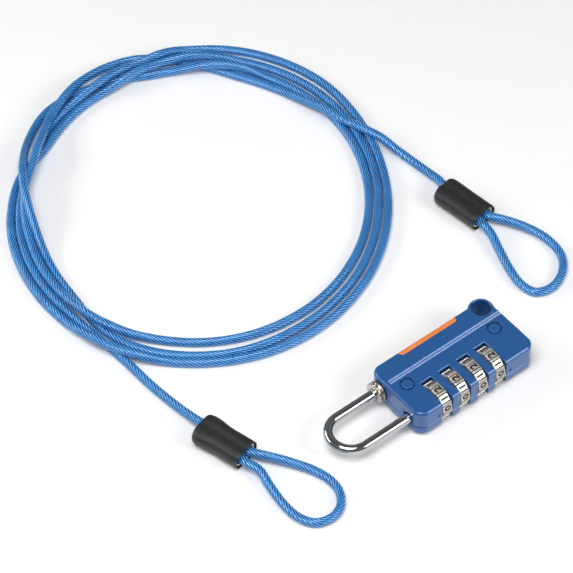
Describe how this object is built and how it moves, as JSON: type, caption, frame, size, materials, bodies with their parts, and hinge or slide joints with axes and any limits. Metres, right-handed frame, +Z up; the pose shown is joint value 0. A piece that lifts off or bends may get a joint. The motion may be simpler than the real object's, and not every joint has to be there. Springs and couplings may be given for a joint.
{
  "type": "cable lock",
  "caption": "Flat combination padlock with number dials and a bent wire shackle, beside a coiled plastic-coated steel cable with a crimped, sleeved loop at each end.",
  "frame": {"origin": "centre of the padlock case's flat back face", "axes": "+Z up, out of the padlock's front face; -X along the shackle, towards its bow; -Y towards the dials; the cable's coil lies on the +Y side"},
  "size_m": [0.1988, 0.2673, 0.0165],
  "materials": {
    "case_paint": "satin metallic blue paint on a zinc die casting",
    "inlay": "satin orange plastic",
    "rivet_paint": "painted over with the case",
    "dial_metal": "nickel plated, with black figures",
    "bush_brass": "turned brass",
    "shackle_chrome": "bright chrome plate",
    "spring_steel": "bright spring steel",
    "collar_nickel": "satin nickel plate",
    "cable_coat": "clear blue plastic over a twisted steel rope",
    "ferrule_metal": "pressed bright metal",
    "sleeve_rubber": "satin black moulded rubber"
  },
  "bodies": {
    "case": {"case_front": "case_paint", "case_back": "case_paint", "side_inlay": "inlay", "rivet_1": "rivet_paint", "rivet_2": "rivet_paint", "shackle_spring": "spring_steel", "detent_spring": "spring_steel"},
    "dial_1_set": {"dial_1": "dial_metal", "dial_bush_1": "bush_brass"},
    "dial_2_set": {"dial_2": "dial_metal", "dial_bush_2": "bush_brass"},
    "dial_3_set": {"dial_3": "dial_metal", "dial_bush_3": "bush_brass"},
    "dial_4_set": {"dial_4": "dial_metal", "dial_bush_4": "bush_brass"},
    "shackle_set": {"shackle": "shackle_chrome", "shackle_clip": "spring_steel"},
    "collar": {"toe_collar": "collar_nickel"},
    "cable": {"cable_coil": "cable_coat", "cable_tail_a": "cable_coat", "cable_tail_b": "cable_coat", "cable_loop_a": "cable_coat", "cable_loop_b": "cable_coat", "ferrule_a": "ferrule_metal", "ferrule_b": "ferrule_metal", "sleeve_a": "sleeve_rubber", "sleeve_b": "sleeve_rubber"}
  },
  "joints": [
    {"name": "dial_1_turn", "type": "hinge", "parent": "case", "child": "dial_1_set", "pos_m": [-0.0172, -0.00945, 0.00675], "axis": [1, 0, 0], "continuous": true},
    {"name": "dial_2_turn", "type": "hinge", "parent": "case", "child": "dial_2_set", "pos_m": [-0.0072, -0.00945, 0.00675], "axis": [1, 0, 0], "continuous": true},
    {"name": "dial_3_turn", "type": "hinge", "parent": "case", "child": "dial_3_set", "pos_m": [0.0028, -0.00945, 0.00675], "axis": [1, 0, 0], "continuous": true},
    {"name": "dial_4_turn", "type": "hinge", "parent": "case", "child": "dial_4_set", "pos_m": [0.0128, -0.00945, 0.00675], "axis": [1, 0, 0], "continuous": true},
    {"name": "shackle_pull", "type": "slide", "parent": "case", "child": "shackle_set", "axis": [-1, 0, 0], "range_m": [0, 0.01]},
    {"name": "collar_turn", "type": "hinge", "parent": "case", "child": "collar", "pos_m": [-0.0344, 0.00985, 0.00675], "axis": [-1, 0, 0], "range_deg": [0, 90]},
    {"name": "cable_move", "type": "slide", "parent": "case", "child": "cable", "axis": [0, 1, 0], "range_m": [0, 0.15]}
  ]
}
